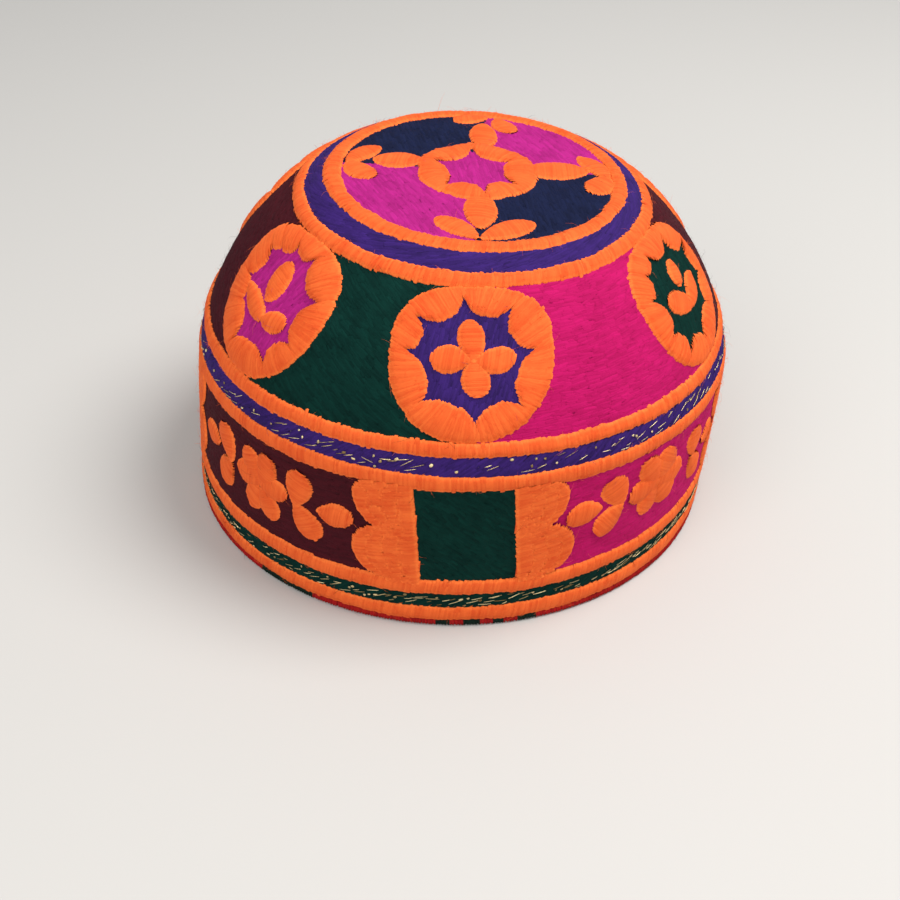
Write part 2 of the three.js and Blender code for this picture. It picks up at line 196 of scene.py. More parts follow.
def surface(tree, shader, colour, height, strength, distance):
    """Gives a shader its colour, and a bump from the height of its threads."""
    bump = node(tree, "ShaderNodeBump", Strength=strength, Distance=distance, Height=height)
    feed(tree, colour, shader.inputs["Base Color"])
    feed(tree, bump.outputs["Normal"], shader.inputs["Normal"])


def make_piece(name, points, faces, materials, face_materials=None):
    """A mesh object from points and arrays of faces, one array for each count of corners."""
    mesh = bpy.data.meshes.new(name)
    corners = np.concatenate([group.ravel() for group in faces]).astype(np.int32)
    sizes = np.concatenate([np.full(len(group), group.shape[1]) for group in faces])
    mesh.vertices.add(len(points))
    mesh.vertices.foreach_set("co", np.asarray(points, np.float32).ravel())
    mesh.loops.add(len(corners))
    mesh.loops.foreach_set("vertex_index", corners)
    mesh.polygons.add(len(sizes))
    mesh.polygons.foreach_set("loop_start", (np.cumsum(sizes) - sizes).astype(np.int32))
    mesh.polygons.foreach_set("use_smooth", np.full(len(sizes), True))
    for material in materials:
        mesh.materials.append(material)
    if face_materials is not None:
        mesh.polygons.foreach_set("material_index", np.asarray(face_materials, np.int32))
    mesh.update(calc_edges=True)
    mesh.validate()
    made = bpy.data.objects.new(name, mesh)
    bpy.context.scene.collection.objects.link(made)
    return made


def woven_cotton(name, colour, shade):
    """Plain weave: two sets of threads crossing at right angles, with slubs and a little wear."""
    material, tree, shader = plain_material(name, Roughness=0.9, Sheen_Weight=0.15, Specular_IOR_Level=0.25)
    where = node(tree, "ShaderNodeTexCoord").outputs["Object"]
    weave = [
        node(tree, "ShaderNodeTexWave", bands_direction=direction, Scale=520.0, Distortion=1.2,
             Detail_Scale=300.0, Vector=where).outputs["Fac"]
        for direction in ("X", "Z")
    ]
    slub = node(tree, "ShaderNodeTexNoise", Scale=90.0, Detail=5.0, Vector=where).outputs["Fac"]
    worn = blend(tree, slub, shade, colour)
    surface(tree, shader, worn, maths(tree, "MULTIPLY", *weave), 0.5, 0.0002)
    return material


under_cloth = woven_cotton("under_cloth", rgb(62, 22, 30), rgb(38, 12, 20))
cotton_back = woven_cotton("cotton_back", rgb(206, 186, 152), rgb(168, 146, 114))


def cloth_shell(name, foot, head, cad_node):
    """A closed wall of cloth turned round the cap, from its foot to its head along the cloth."""
    count = max(int(round((head - foot) / SHELL_ROW)), 2)
    rows = np.linspace(foot, head, count + 1)
    closes = head > WALL_LENGTH - 1
    turns = np.linspace(0, 2 * np.pi, SHELL_STEPS, endpoint=False)
    loop = [(along, 0.0) for along in rows] + [(along, -WALL) for along in rows[::-1]]
    along, lift = np.array(loop).T
    points = place(turns, along[:, None], lift[:, None]).reshape(-1, 3)
    index = np.arange(len(loop) * SHELL_STEPS).reshape(len(loop), SHELL_STEPS)
    steps = [i for i in range(len(loop)) if not (closes and i == count)]
    quads, looks = [], []
    for i in steps:
        a, b = index[i], index[(i + 1) % len(loop)]
        quads.append(np.stack([a, np.roll(a, -1), np.roll(b, -1), b], -1))
        looks += [0 if i < count or i == len(loop) - 1 else 1] * SHELL_STEPS
    faces = [np.concatenate(quads)]
    if closes:
        faces.append(np.stack([index[count], index[count + 1][::-1]]))
        looks += [0, 1]
    shell = make_piece(name, points, faces, [under_cloth, cotton_back], looks)
    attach(shell, "root")
    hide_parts(cad_node)


SIDE_SEAM = sum(PURPLE_STRIPE) / 2
TOP_SEAM = sum(PURPLE_RING) / 2
cloth_shell("band_cloth", RIM_RIB[0], SIDE_SEAM - SEAM_GAP, "side_band")
cloth_shell("dome_cloth", SIDE_SEAM + SEAM_GAP, TOP_SEAM - SEAM_GAP, "crown_side")
cloth_shell("disc_cloth", TOP_SEAM + SEAM_GAP, WALL_LENGTH - 0.4, "crown_top")

# Whipped edge of the rim
# One wool thread after the other is wound over the raw edge of the cloth, from the outside to the
# inside. It is red, with short blocks of dark green.
GREEN_BLOCKS = (  # first and last direction of each green block, in degrees
    (-42, -28), (-1.6, 1.2), (4, 7.1), (9.9, 12.1), (15, 18.7), (92, 97), (101, 105), (109, 112),
    (148, 162), (196, 199), (203, 206.5), (210, 213), (262, 266), (270, 273), (277, 281),
)
EDGING_PITCH = 0.95
EDGING_LOOP = (  # way along the cloth and height over it, from outside to inside
    (2.5, 0.15), (2.1, 0.65), (1.3, 0.95), (0.55, 0.75), (0.15, 0.1), (0.12, -1.0),
    (0.15, -2.1), (0.6, -2.7), (1.5, -2.95), (2.7, -2.3),
)
EDGING_HALF = 0.56  # half the width of its thread
EDGING_THICK = 0.42
EDGING_SLANT = 0.4
FIBRE = 0.035  # half the width of a loose fibre
FIBRE_LENGTH = 1.8
FIBRE_SHAPE = 2.2  # higher makes the fibres more alike in length
FIBRE_SPREAD = (0.9, 0.8, 0)  # along its thread and across it
FIBRE_STANDS = (0.15, 0.6)  # how steeply it rises off its thread
THREAD_FORM = ((-1.0, -0.3), (0.0, 1.0), (1.0, -0.3))  # corners of a thread, across it and up


def weighted(tree, parts):
    """The sum of outputs, each times its share."""
    total = 0.0
    for output, share in parts:
        total = maths(tree, "MULTIPLY_ADD", output, share, total)
    return total


def wool_fibres():
    """Shader group of spun wool: random tone, painted shade at thread edges, painted sheen at thread ends,
    and fibre height.
    """
    group = bpy.data.node_groups.new("wool_fibres", "ShaderNodeTree")
    for name, way, kind in (
        ("Thread", "INPUT", "Color"), ("Shade", "INPUT", "Color"), ("Depth", "INPUT", "Float"),
        ("Light Ends", "INPUT", "Float"), ("Colour", "OUTPUT", "Color"), ("Height", "OUTPUT", "Float"),
    ):
        group.interface.new_socket(name, in_out=way, socket_type=f"NodeSocket{kind}")
    start, end = node(group, "NodeGroupInput").outputs, node(group, "NodeGroupOutput").inputs
    yarn = node(group, "ShaderNodeAttribute", attribute_name="yarn").outputs["Vector"]
    across, from_end, tint = node(group, "ShaderNodeSeparateXYZ", Vector=yarn).outputs
    spin = node(group, "ShaderNodeVectorMath", operation="MULTIPLY")
    feed(group, yarn, spin.inputs[0])
    feed(group, (2.6, 0.45, 61.0), spin.inputs[1])
    strand = node(group, "ShaderNodeTexNoise", Scale=1.0, Detail=3.0, Roughness=0.6,
                  Vector=spin.outputs[0]).outputs["Fac"]
    where = node(group, "ShaderNodeTexCoord").outputs["Object"]
    cloud = node(group, "ShaderNodeTexNoise", Scale=110.0, Detail=4.0, Roughness=0.65, Vector=where)
    # Painted sheen: threads are painted lighter within about 1.5 mm of their ends.
    near_end = node(group, "ShaderNodeMapRange", interpolation_type="SMOOTHSTEP", Value=from_end,
                    From_Min=0.2, From_Max=1.5, To_Min=1.0, To_Max=0.0)
    ends = maths(group, "MULTIPLY", near_end.outputs["Result"], start["Light Ends"])
    # Painted shade: threads are painted darker towards their edges, where they meet the next thread.
    edge = maths(group, "MULTIPLY", across, across)
    whole = weighted(group, (
        (ends, -1.0), (edge, 0.1), (tint, 0.25), (strand, 0.45), (cloud.outputs["Fac"], 0.55)))
    deep = maths(group, "MULTIPLY", whole, start["Depth"])
    feed(group, blend(group, deep, start["Thread"], start["Shade"]), end["Colour"])
    feed(group, strand, end["Height"])
    return group


WOOL_FIBRES = wool_fibres()


def wool(name, thread, shade, depth=0.9, sheen=0.06, gloss=0.12, painted_end_sheen=0.0):
    """Wool of one dye: its bright thread and a deeper tone, with painted shade at thread edges and painted
    sheen at thread ends.
    """
    material, tree, shader = plain_material(
        name, Roughness=0.82, Sheen_Weight=sheen, Sheen_Roughness=0.5, Sheen_Tint=thread,
        Specular_IOR_Level=gloss)
    fibres = node(tree, "ShaderNodeGroup", node_tree=WOOL_FIBRES, Thread=thread, Shade=shade,
                  Depth=depth, Light_Ends=painted_end_sheen).outputs
    surface(tree, shader, fibres["Colour"], fibres["Height"], 0.6, 0.0003)
    return material


class Skein:
    """The threads of one piece, laid one by one on the cap and then joined in one mesh."""

    def __init__(self, seed):
        self.rng = np.random.default_rng(seed)
        self.points, self.yarn, self.faces, self.ends, self.count = [], [], [], [], 0
        self.laid = []

    def add(self, points, yarn, grows=True):
        """Threads as arrays of sections: threads x samples x corners x 3."""
        if grows:
            self.laid.append((points, yarn))
        threads, samples, corners = points.shape[:3]
        index = self.count + np.arange(threads * samples * corners).reshape(threads, samples, corners)
        near, far = index[:, :-1], index[:, 1:]
        quads = np.stack([near, far, np.roll(far, -1, 2), np.roll(near, -1, 2)], -1)
        self.faces.append(quads.reshape(-1, 4))
        self.ends.append(np.concatenate([index[:, 0], index[:, -1, ::-1]]))
        self.points.append(points.reshape(-1, 3))
        self.yarn.append(yarn.reshape(-1, 3))
        self.count += threads * samples * corners

    def sew(self, chart, path, lift, half, thick):
        """Threads along flat paths (threads x samples x 2), which the chart lays on the cap."""
        way = np.gradient(path, axis=1)
        way /= np.maximum(np.linalg.norm(way, axis=2, keepdims=True), 1e-9)
        side = np.stack([-way[..., 1], way[..., 0]], -1)
        offset, height = np.array(THREAD_FORM).T
        lift, half, thick = (np.broadcast_to(a, path.shape[:2]) for a in (lift, half, thick))
        flat = path[:, :, None] + side[:, :, None] * (half[..., None] * offset)[..., None]
        turn, along = chart(flat)
        points = place(turn, along, lift[..., None] + thick[..., None] * height)
        steps = np.linalg.norm(np.diff(path, axis=1), axis=2)
        run = np.concatenate([np.zeros((len(path), 1)), np.cumsum(steps, 1)], 1)
        from_end = np.minimum(run, run[:, -1:] - run)[..., None]
        tint = self.rng.random(len(path))
        self.add(points, np.stack(np.broadcast_arrays(offset, from_end, tint[:, None, None]), -1))

    def fluff(self, per_thread):
        """Loose fibres that stand off the wool, that many for each thread on average."""
        rng = self.rng
        for points, yarn in self.laid:
            threads, samples = points.shape[:2]
            count = rng.poisson(per_thread * threads)
            if samples < 3 or not count:
                continue
            s, k = rng.integers(0, threads, count), rng.integers(1, samples - 1, count)
            root = points[s, k, 1]
            up = root - (points[s, k, 0] + points[s, k, 2]) / 2
            along = points[s, k + 1, 1] - points[s, k - 1, 1]
            up /= np.linalg.norm(up, axis=1, keepdims=True) + 1e-12
            along /= np.linalg.norm(along, axis=1, keepdims=True) + 1e-12
            side = np.cross(up, along)
            spread = rng.normal(0, 1, (count, 3)) * FIBRE_SPREAD
            reach = rng.gamma(FIBRE_SHAPE, FIBRE_LENGTH / FIBRE_SHAPE, (count, 1)) * MM
            lean = along * spread[:, :1] + side * spread[:, 1:2]
            lean /= np.linalg.norm(lean, axis=1, keepdims=True) + 1e-12
            lift = rng.uniform(*FIBRE_STANDS, (count, 1))
            t = np.array([0.0, 0.5, 1.0])[:, None]
            rise = up[:, None] * lift[:, None] * (t * 1.6 - t * t)
            path = root[:, None] + (lean[:, None] * t + rise) * reach[:, None]
            path[..., 2] = np.maximum(path[..., 2], 3 * FIBRE * MM)
            across = np.cross(lean, up)[:, None, None]
            thin = FIBRE * MM * np.array([1.0, 0.8, 0.25])[:, None, None]
            corner, tall = np.array([[-1.0, 0.0, 1.0], [0.0, 1.2, 0.0]])[..., None]
            hair = path[:, :, None] + thin * (across * corner + up[:, None, None] * tall)
            tint = np.broadcast_to(yarn[s, k, 1][:, None, None], hair.shape)
            self.add(hair, tint, False)

    def finish(self, name, material, slot, *nodes, fluff=0.25):
        """The mesh of all threads, riding with the cap."""
        self.fluff(fluff)
        by_size = {}
        for group in [*self.faces, *self.ends]:
            by_size.setdefault(group.shape[1], []).append(group)
        faces = [np.concatenate(groups) for groups in by_size.values()]
        made = make_piece(name, np.concatenate(self.points), faces, [material])
        yarn = made.data.attributes.new("yarn", "FLOAT_VECTOR", "POINT")
        coordinates = np.concatenate(self.yarn).astype(np.float32)
        yarn.data.foreach_set("vector", coordinates.ravel())
        ends = np.empty(2 * len(made.data.edges), np.int32)
        made.data.edges.foreach_get("vertices", ends)
        flank = (np.abs(coordinates[:, 0]) > 0.99)[ends].reshape(-1, 2).all(1)
        made.data.attributes.new("sharp_edge", "BOOLEAN", "EDGE").data.foreach_set("value", flank)
        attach(made, "root")
        if nodes:
            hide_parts(*nodes)


def whip_edge(name, blocks, seed, material, *nodes):
    """Threads wound round the raw edge, between directions in degrees."""
    skein = Skein(seed)
    step = math.degrees(EDGING_PITCH / RIM_RADIUS)
    turns = np.concatenate([np.arange(first, last, step) for first, last in blocks])
    turns = np.radians(turns + skein.rng.normal(0, step * 0.08, len(turns)))
    along, lift = np.array(EDGING_LOOP).T
    way = np.gradient(np.stack([along, lift], -1), axis=0)
    way /= np.linalg.norm(way, axis=1, keepdims=True)
    out_along, out_lift = -way[:, 1], way[:, 0]
    offset, height = np.array(THREAD_FORM).T
    swell = skein.rng.normal(EDGING_THICK, 0.05, (len(turns), 1, 1))
    slant = np.linspace(-EDGING_SLANT, EDGING_SLANT, len(along))[:, None] / RIM_RADIUS
    thread_turn = turns[:, None, None] + slant - offset * EDGING_HALF / RIM_RADIUS
    thread_along = along[:, None] - out_along[:, None] * height * swell
    thread_lift = lift[:, None] - out_lift[:, None] * height * swell
    points = place(thread_turn, np.maximum(thread_along, 0.02), thread_lift)
    tint = skein.rng.random((len(turns), 1, 1))
    run = np.arange(len(along))[:, None] * 1.0
    skein.add(points, np.stack(np.broadcast_arrays(offset, run, tint), -1))
    skein.finish(name, material, "edging_wool", *nodes)


red_wool = wool("red_wool", rgb(190, 30, 28), rgb(104, 8, 12))
edge_green_wool = wool("edge_green_wool", rgb(18, 44, 34), rgb(5, 16, 12))
next_greens = [first for first, last in GREEN_BLOCKS[1:]] + [GREEN_BLOCKS[0][0] + 360]
red_blocks = [(block[1], first) for block, first in zip(GREEN_BLOCKS, next_greens)]
whip_edge("edging_red", red_blocks, 11, red_wool, "rim_edging")
whip_edge("edging_green", GREEN_BLOCKS, 12, edge_green_wool)

# Padded orange ribs
# Bundles of cord under orange wool, laid round the cap and covered with close satin stitches that
# run across them and dive into the cloth on both sides.
# Only the orange wool is painted lighter near the ends of its threads: a painted sheen.
orange_wool = wool("orange_wool", rgb(248, 122, 53), rgb(194, 52, 8), 0.95, 0.3, 0.2, 0.42)
RIB_RISE = 1.35
RIB_WANDER = 0.4
SATIN_PITCH = 0.58
SATIN_WIDTH = 1.5
THREAD_HEIGHT = 0.12


def around(level):
    """Flat sewing lines right round the cap: x along a ring at that level, and y along the cloth."""
    radius = radius_at(level)
    return lambda flat: (flat[..., 0] / radius, flat[..., 1])


def waver(turn, seed, size):
    """A slow wander of a hand-sewn line round the cap."""
    rng = np.random.default_rng(seed)
    waves = rng.integers(3, 34, 6)
    parts = [np.sin(k * turn + rng.uniform(0, 6.3)) / (1 + k / 12) for k in waves]
    return size * np.sum(parts, 0) / 2.2


def satin(skein, chart, feet, heads, rise, samples=6, width=SATIN_WIDTH, fray=0.28, floor=0.0, dive=2.4):
    """Padded satin stitches from feet to heads: they dive at both ends and bulge between them."""
    rng = skein.rng
    count = len(feet)
    t = (1 - np.cos(np.linspace(0, np.pi, samples))) / 2
    way = heads - feet
    length = np.maximum(np.linalg.norm(way, axis=1, keepdims=True), 1e-6)
    side = np.stack([-way[:, 1], way[:, 0]], -1) / length
    askew = side * rng.normal(0, 0.1, (count, 1))
    feet = feet - way / length * np.abs(rng.normal(0, fray, (count, 1))) - askew
    heads = heads + way / length * np.abs(rng.normal(0, fray, (count, 1))) + askew
    bulge = np.maximum(1 - np.abs(2 * t - 1) ** dive, 0) ** 0.5
    bow = rng.normal(0, 0.09, (count, 1)) * bulge
    path = feet[:, None] + (heads - feet)[:, None] * t[:, None] + side[:, None] * bow[..., None]
    lift = floor + (np.broadcast_to(rise, (count,))[:, None] + rng.normal(0, 0.025, (count, 1))) * bulge
    half = width / 2 * (0.62 + 0.38 * bulge) * rng.uniform(0.85, 1.12, (count, 1))
    skein.sew(chart, path, lift, half, THREAD_HEIGHT * (0.5 + 0.5 * bulge))


def rib(skein, edges, seed, slant=0.7):
    """Satin stitches across a rib that runs right round the cap."""
    foot, head = edges
    level = (foot + head) / 2
    length = 2 * np.pi * radius_at(level)
    x = np.arange(0, length, SATIN_PITCH)
    x = x + skein.rng.normal(0, 0.08, len(x))
    turn = x / radius_at(level)
    low = foot + waver(turn, seed, RIB_WANDER)
    high = head + waver(turn, seed + 1, RIB_WANDER)
    feet, heads = np.stack([x - slant / 2, low], -1), np.stack([x + slant / 2, high], -1)
    satin(skein, around(level), feet, heads, RIB_RISE + waver(turn, seed + 2, 0.12))


def rib_piece(name, edges, seed, cad_node, slant=0.7):
    skein = Skein(seed)
    rib(skein, edges, seed, slant)
    skein.finish(name, orange_wool, "orange_wool", cad_node, fluff=0.6)


rib_piece("rim_rib_wool", RIM_RIB, 21, "rim_rib")
rib_piece("crown_lower_wool", CROWN_LOWER_RIB, 23, "crown_lower_rib", -0.6)
rib_piece("crown_upper_wool", CROWN_UPPER_RIB, 25, "crown_upper_rib")
rib_piece("top_ring_wool", TOP_RING, 27, "top_ring_rib", 1.0)

# Flat stripes with gold
# Rows of slanting wool stitches between the ribs, dark green below the band and purple above it, with
# a thin gold metal strand carried along and caught down in places. The purple ring has no gold.
green_wool = wool("green_wool", rgb(11, 57, 49), rgb(0, 15, 14), gloss=0.06)
purple_wool = wool("purple_wool", rgb(68, 38, 126), rgb(18, 7, 42))
STRIPE_LIFT = 0.35
GROUND_PITCH = 0.72
GROUND_WIDTH = 1.2
GROUND_RISE = 0.18
GROUND_THICK = 0.15


def ways(angles):
    """Unit steps in directions given in radians."""
    return np.stack([np.cos(angles), np.sin(angles)], -1)


def darn(skein, chart, starts, ends, lift=0.12):
    """Short flat stitches of a ground, each sunk into the cloth at both ends."""
    rng = skein.rng
    t = np.array([0, 0.16, 0.84, 1])
    high = np.array([0.3, 1.0, 1.0, 0.3])
    path = starts[:, None] + (ends - starts)[:, None] * t[:, None]
    level = lift + rng.uniform(0, 0.14, (len(starts), 1)) + GROUND_RISE * high
    half = GROUND_WIDTH / 2 * (0.6 + 0.4 * high) * rng.uniform(0.85, 1.12, (len(starts), 1))
    skein.sew(chart, path, level, half, GROUND_THICK * (0.4 + 0.6 * high))


def stripe(name, edges, seed, material, slot, cad_node, stitch, angle, rows):
    """Rows of slanting stitches round the cap."""
    skein = Skein(seed)
    foot, head = edges
    level = (foot + head) / 2
    length = 2 * np.pi * radius_at(level)
    for row in range(rows):
        middle = foot + (row + 0.5) * (head - foot) / rows
        x = np.arange(0, length, GROUND_PITCH / math.sin(math.radians(angle)) * 0.98)
        x = x + skein.rng.uniform(-0.5, 0.5, len(x))
        reach = stitch / 2 * skein.rng.uniform(0.85, 1.2, (len(x), 1))
        tilt = np.radians(angle + skein.rng.normal(0, 3, len(x)))
        way = ways(tilt) * reach
        centre = np.stack([x, middle + skein.rng.normal(0, 0.15, len(x))], -1)
        starts, ends = centre - way, centre + way
        starts[:, 1] = np.clip(starts[:, 1], foot - 0.2, head + 0.2)
        ends[:, 1] = np.clip(ends[:, 1], foot - 0.2, head + 0.2)
        darn(skein, around(level), starts, ends, STRIPE_LIFT)
    skein.finish(name, material, slot, cad_node)


stripe("green_stripe_wool", GREEN_STRIPE, 31, green_wool, "green_gold_wool", "green_gold_stripe", 4.2, 38, 3)
stripe("purple_stripe_wool", PURPLE_STRIPE, 32, purple_wool, "purple_gold_wool", "purple_gold_stripe",
       4.6, 40, 3)
stripe("purple_ring_wool", PURPLE_RING, 33, purple_wool, "purple_wool", "purple_ring", 9.0, 14, 6)

gold_strand, gold_tree, gold_shader = plain_material("gold_strand", Metallic=1.0, Roughness=0.32)
grain = node(gold_tree, "ShaderNodeTexNoise", Scale=2600.0, Detail=2.0).outputs["Fac"]
gold_yarn = node(gold_tree, "ShaderNodeAttribute", attribute_name="yarn").outputs["Vector"]
gold_tint = node(gold_tree, "ShaderNodeSeparateXYZ", Vector=gold_yarn).outputs["Z"]
# Painted glints: each strand is given a random brightness, from dull to bright gold.
painted_glint = maths(gold_tree, "POWER", gold_tint, 1.1)
gold_colour = blend(gold_tree, painted_glint, rgb(124, 98, 56), rgb(255, 232, 176))
surface(gold_tree, gold_shader, gold_colour, grain, 0.6, 0.0002)
GLINT_SHARE = 0.38
GLINT_REACH, STRAND_REACH = (0.3, 0.7), (0.7, 2.2)  # half their length, least and most
GLINT_HALF, STRAND_HALF = 0.46, 0.14
GOLD_TILT = (14, 8)  # degrees along the stripe, middle and spread
GOLD_MARGIN = 0.7
GOLD_LIFT = 0.6  # over the feet of the stripe's stitches


def gold(name, edges, seed, slot, spacing, gaps):
    """The metal strand where it shows: thin lengths between the stitches, and short broad glints."""
    skein = Skein(seed)
    rng = skein.rng
    foot, head = edges
    level = (foot + head) / 2
    length = 2 * np.pi * radius_at(level)
    x = np.arange(0, length, spacing)
    x = x + rng.uniform(-0.3, 0.3, len(x)) * spacing
    x = x[waver(x / radius_at(level), seed, 1.0) > rng.uniform(-1.2, gaps, len(x))]
    tilt = np.radians(rng.normal(*GOLD_TILT, len(x)))
    glint = rng.random((len(x), 1)) < GLINT_SHARE
    short, long = rng.uniform(*GLINT_REACH, (len(x), 1)), rng.uniform(*STRAND_REACH, (len(x), 1))
    reach = np.where(glint, short, long)
    way = ways(tilt) * reach
    margin = np.minimum(np.abs(way[:, 1]) + GOLD_MARGIN, (head - foot) / 2)
    centre = np.stack([x, foot + margin + rng.random(len(x)) * (head - foot - 2 * margin)], -1)
    t = np.linspace(-1, 1, 4)
    path = centre[:, None] + way[:, None] * t[:, None]
    lift = STRIPE_LIFT + GOLD_LIFT + 0.1 * (1 - t ** 2) + rng.uniform(0, 0.15, (len(x), 1))
    half = np.where(glint, GLINT_HALF, STRAND_HALF) * (1 - 0.5 * np.abs(t))
    half = half * rng.uniform(0.7, 1.2, (len(x), 1))
    skein.sew(around(level), path, lift, half, 0.12)
    skein.finish(name, gold_strand, slot, fluff=0)


gold("green_stripe_gold", GREEN_STRIPE, 41, "green_gold_wool", 1.3, 0.2)
gold("purple_stripe_gold", PURPLE_STRIPE, 42, "purple_gold_wool", 1.5, 0.7)

# Embroidered grounds of the band
# Flat fields of short darning stitches between the ribs: dark green squares, and maroon and pink
# panels behind the flowers.
maroon_wool = wool("maroon_wool", rgb(80, 14, 26), rgb(38, 4, 12))
pink_wool = wool("pink_wool", rgb(204, 20, 106), rgb(140, 2, 62), 0.9, 0.12)
SQUARE_TURNS = (2.4, 91, 180, 270)
SQUARE_LEANS = (4.3, -1.0, 1.6, -1.8)  # how far the foot of each square lies to the right of its head
SQUARE_WIDTH = 31.8
BLOCK_WAISTS = {-1: 10.6, 1: 8.2}  # to the left and to the right of a square
BLOCK_LOBES = (  # height over the middle, reach above and below it, and how far the lobe stands out
    (13.4, 6.0, 10.9, 8.6), (-7.6, 10.0, 9.6, 10.4),
)
BAND_MIDDLE = sum(BAND) / 2
BAND_HEIGHT = BAND[1] - BAND[0]
UNDERLAY_PITCH = 2.2
STITCH_LAP = 0.35


def patch(turn, along):
    """Flat sewing lines round one place of the cap: x to the right along it and y up the cloth."""
    def to_cap(flat):
        up = along + flat[..., 1]
        return math.radians(turn) + flat[..., 0] / radius_at(up), up
    return to_cap


def flat_on(turn, along, spots):
    """Spots given as (degrees, way along the cloth), in the flat lines of the patch at that place."""
    spots = np.array(spots, float)
    sideways = np.radians(spots[..., 0] - turn) * radius_at(spots[..., 1])
    return np.stack([sideways, spots[..., 1] - along], -1)


def rows_inside(outlines, direction, pitch):
    """Ends of straight rows across an area with holes, in one direction in degrees."""
    angle = math.radians(direction)
    spin = np.array([[math.cos(angle), -math.sin(angle)], [math.sin(angle), math.cos(angle)]])
    loops = [outline @ spin for outline in outlines]
    start = np.concatenate(loops)
    end = np.concatenate([np.roll(loop, -1, 0) for loop in loops])
    levels = np.arange(start[:, 1].min() + pitch / 2, start[:, 1].max(), pitch)
    found = []
    for level in levels:
        hit = (start[:, 1] <= level) != (end[:, 1] <= level)
        a, b = start[hit], end[hit]
        x = np.sort(a[:, 0] + (level - a[:, 1]) / (b[:, 1] - a[:, 1]) * (b[:, 0] - a[:, 0]))
        found += [((x[i], level), (x[i + 1], level)) for i in range(0, len(x) - 1, 2)]
    return np.array(found).reshape(-1, 2, 2) @ spin.T


def underlay(skein, chart, outlines, direction, lift=0.06):
    """Broad flat threads of the same wool below a ground, which hide the cloth between its stitches."""
    rows = rows_inside(outlines, direction, UNDERLAY_PITCH)
    t = np.linspace(0, 1, 14)[:, None]
    path = rows[:, :1] + (rows[:, 1:] - rows[:, :1]) * t
    skein.sew(chart, path, lift, UNDERLAY_PITCH * 0.56, 0.05)


def fill(skein, chart, outlines, direction, stitch, tilt=4.0):
    """Stitches of that length in rows over an area, brick-wise, each a little askew."""
    rng = skein.rng
    underlay(skein, chart, outlines, direction)
    starts, ends = [], []
    for foot, head in rows_inside(outlines, direction, GROUND_PITCH):
        length = np.linalg.norm(head - foot)
        if length < 0.5:
            continue
        cuts = np.arange(rng.uniform(-stitch, 0), length, stitch)
        cuts = cuts + rng.uniform(-0.35, 0.35, len(cuts)) * stitch
        cuts = np.unique(np.clip(np.concatenate([[0], cuts, [length]]), 0, length))
        way = (head - foot) / length
        for a, b in zip(cuts, cuts[1:]):
            if b - a > 0.5:
                starts.append(foot + way * (a - STITCH_LAP))
                ends.append(foot + way * (b + STITCH_LAP))
    starts, ends = np.array(starts), np.array(ends)
    askew = np.radians(rng.normal(0, tilt, len(starts)))
    middle, half = (starts + ends) / 2, (ends - starts) / 2
    turned = np.stack([half[:, 0] * np.cos(askew) - half[:, 1] * np.sin(askew),
                       half[:, 0] * np.sin(askew) + half[:, 1] * np.cos(askew)], -1)
    darn(skein, chart, middle - turned, middle + turned)


def block_edge(side, y):
    """Width of an orange block at a height from the middle of the band."""
    lobes = []
    for middle, above, below, out in BLOCK_LOBES:
        reach = np.where(y > middle, above, below)
        lobes.append(out * np.sqrt(np.clip(1 - ((y - middle) / reach) ** 2, 0, 1)))
    return BLOCK_WAISTS[side] + np.max(lobes, axis=0)


def square_side(i, side, y):
    """Flat x of the left or right side of a square, which leans a little."""
    return side * SQUARE_WIDTH / 2 - SQUARE_LEANS[i] * y / BAND_HEIGHT


band_heights = np.linspace(-BAND_HEIGHT / 2, BAND_HEIGHT / 2, 25)
for i, turn in enumerate(SQUARE_TURNS):
    skein = Skein(50 + i)
    left = np.stack([square_side(i, -1, band_heights), band_heights], -1)
    right = np.stack([square_side(i, 1, band_heights), band_heights], -1)
    fill(skein, patch(turn, BAND_MIDDLE), [np.vstack([left, right[::-1]])], -38, 3.4, tilt=9)
    skein.finish(f"square_{i + 1}_wool", green_wool, "green_wool", f"band_square_{i + 1}")

FLOWER_TURNS = (45, 136, 225, 317)
for i, turn in enumerate(FLOWER_TURNS):
    skein = Skein(60 + i)
    following = (i + 1) % 4
    before = turn - ((turn - SQUARE_TURNS[i]) % 360)
    after = turn + ((SQUARE_TURNS[following] - turn) % 360)
    to_before, to_after = (math.radians(a - turn) * radius_at(BAND_MIDDLE) for a in (before, after))
    first = to_before + square_side(i, 1, band_heights) + block_edge(1, band_heights)
    last = to_after + square_side(following, -1, band_heights) - block_edge(-1, band_heights)
    left, right = np.stack([first - 1, band_heights], -1), np.stack([last + 1, band_heights], -1)
    outline = np.vstack([left, right[::-1]])
    ground_wool = pink_wool if i % 2 == 0 else maroon_wool
    fill(skein, patch(turn, BAND_MIDDLE), [outline], 4, 4.8)
    skein.finish(f"band_ground_{i + 1}", ground_wool, "band_cloth")

# Orange frame of the band
# Two ribs that edge the band, and beside each green square two scalloped blocks, filled with level
# satin stitches in upright columns.
BLOCK_RISE = 0.75
BLOCK_FLOOR = 0.6
BLOCK_COLUMNS = 4
BLOCK_TUCK = 1.2  # how far the columns run on under the ribs
COLUMN_WOBBLE = 0.7
COLUMN_LAP, EDGE_LAP = 0.5, -0.2  # over the next column, and at the scalloped edge
COLUMN_SLANT = 0.5


